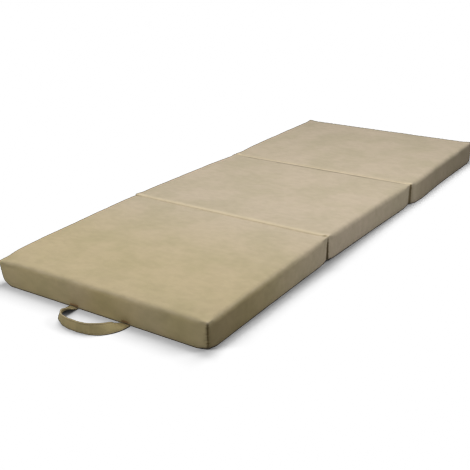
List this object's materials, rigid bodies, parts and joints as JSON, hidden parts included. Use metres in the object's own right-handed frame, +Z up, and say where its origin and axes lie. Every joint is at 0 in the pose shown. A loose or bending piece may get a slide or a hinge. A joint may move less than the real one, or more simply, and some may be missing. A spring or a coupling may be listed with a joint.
{
  "type": "folding mattress",
  "caption": "Folding floor mattress with flat foam sections in a beige suede-like cover, cloth hinges between them and a strap handle at one end.",
  "frame": {"origin": "centre of the middle section's underside, on the floor", "axes": "+Y along the mattress from the handle's end to the far end, +X to the right seen from the handle's end, +Z up"},
  "size_m": [0.8041, 2.0534, 0.0899],
  "materials": {
    "suede_cloth": "matte brushed suede-like microfibre",
    "base_cloth": "matte woven cloth",
    "hinge_cloth": "matte brushed suede-like microfibre",
    "strap_cloth": "matte folded and stitched cloth strap",
    "tack_thread": "dense brown sewing thread",
    "foam": "matte open-cell foam",
    "zip_tape": "fine woven tape",
    "zip_coil": "satin nylon",
    "zip_metal": "dull antique metal"
  },
  "bodies": {
    "rear": {"foam_core_rear": "foam", "cover_shell_rear": "suede_cloth", "cover_base_rear": "base_cloth", "zip_tape_upper_rear": "zip_tape", "zip_tape_lower_rear": "zip_tape", "zip_coil_rear": "zip_coil"},
    "middle": {"foam_core_middle": "foam", "cover_shell_middle": "suede_cloth", "cover_base_middle": "base_cloth", "hinge_strip_rear": "hinge_cloth", "zip_tape_upper_middle": "zip_tape", "zip_tape_lower_middle": "zip_tape", "zip_coil_middle": "zip_coil"},
    "front": {"foam_core_front": "foam", "cover_shell_front": "suede_cloth", "cover_base_front": "base_cloth", "hinge_strip_front": "hinge_cloth", "handle_tack_left": "tack_thread", "handle_tack_right": "tack_thread", "zip_tape_upper_front": "zip_tape", "zip_tape_lower_front": "zip_tape", "zip_coil_front": "zip_coil"},
    "handle": {"handle_strap": "strap_cloth"},
    "zip_slider_front": {"zip_slider_front": "zip_metal"},
    "zip_pull_front": {"zip_pull_front": "zip_metal"},
    "zip_slider_middle": {"zip_slider_middle": "zip_metal"},
    "zip_pull_middle": {"zip_pull_middle": "zip_metal"},
    "zip_slider_rear": {"zip_slider_rear": "zip_metal"},
    "zip_pull_rear": {"zip_pull_rear": "zip_metal"}
  },
  "joints": [
    {"name": "fold_rear", "type": "hinge", "parent": "rear", "child": "middle", "pos_m": [0, 0.32575, 0.0903], "axis": [-1, 0, 0], "range_deg": [0, 180], "deforming": ["hinge_strip_rear"]},
    {"name": "fold_front", "type": "hinge", "parent": "middle", "child": "front", "pos_m": [0, -0.32575, -0.0003], "axis": [1, 0, 0], "range_deg": [0, 180], "deforming": ["hinge_strip_front"]},
    {"name": "handle_swing", "type": "hinge", "parent": "front", "child": "handle", "pos_m": [0.012, -0.97592, 0.0025], "axis": [-1, 0, 0], "range_deg": [0, 58]},
    {"name": "zip_slide_front", "type": "slide", "parent": "front", "child": "zip_slider_front", "axis": [0, 1, 0], "range_m": [0, 0.551]},
    {"name": "zip_pull_swing_front", "type": "hinge", "parent": "zip_slider_front", "child": "zip_pull_front", "pos_m": [-0.40235, -0.927, 0.02115], "axis": [0, 0, 1], "range_deg": [0, 180]},
    {"name": "zip_slide_middle", "type": "slide", "parent": "middle", "child": "zip_slider_middle", "axis": [0, 1, 0], "range_m": [0, 0.551]},
    {"name": "zip_pull_swing_middle", "type": "hinge", "parent": "zip_slider_middle", "child": "zip_pull_middle", "pos_m": [-0.40235, -0.2755, 0.02115], "axis": [0, 0, 1], "range_deg": [0, 180]},
    {"name": "zip_slide_rear", "type": "slide", "parent": "rear", "child": "zip_slider_rear", "axis": [0, 1, 0], "range_m": [0, 0.551]},
    {"name": "zip_pull_swing_rear", "type": "hinge", "parent": "zip_slider_rear", "child": "zip_pull_rear", "pos_m": [-0.40235, 0.376, 0.02115], "axis": [0, 0, 1], "range_deg": [0, 180]}
  ]
}
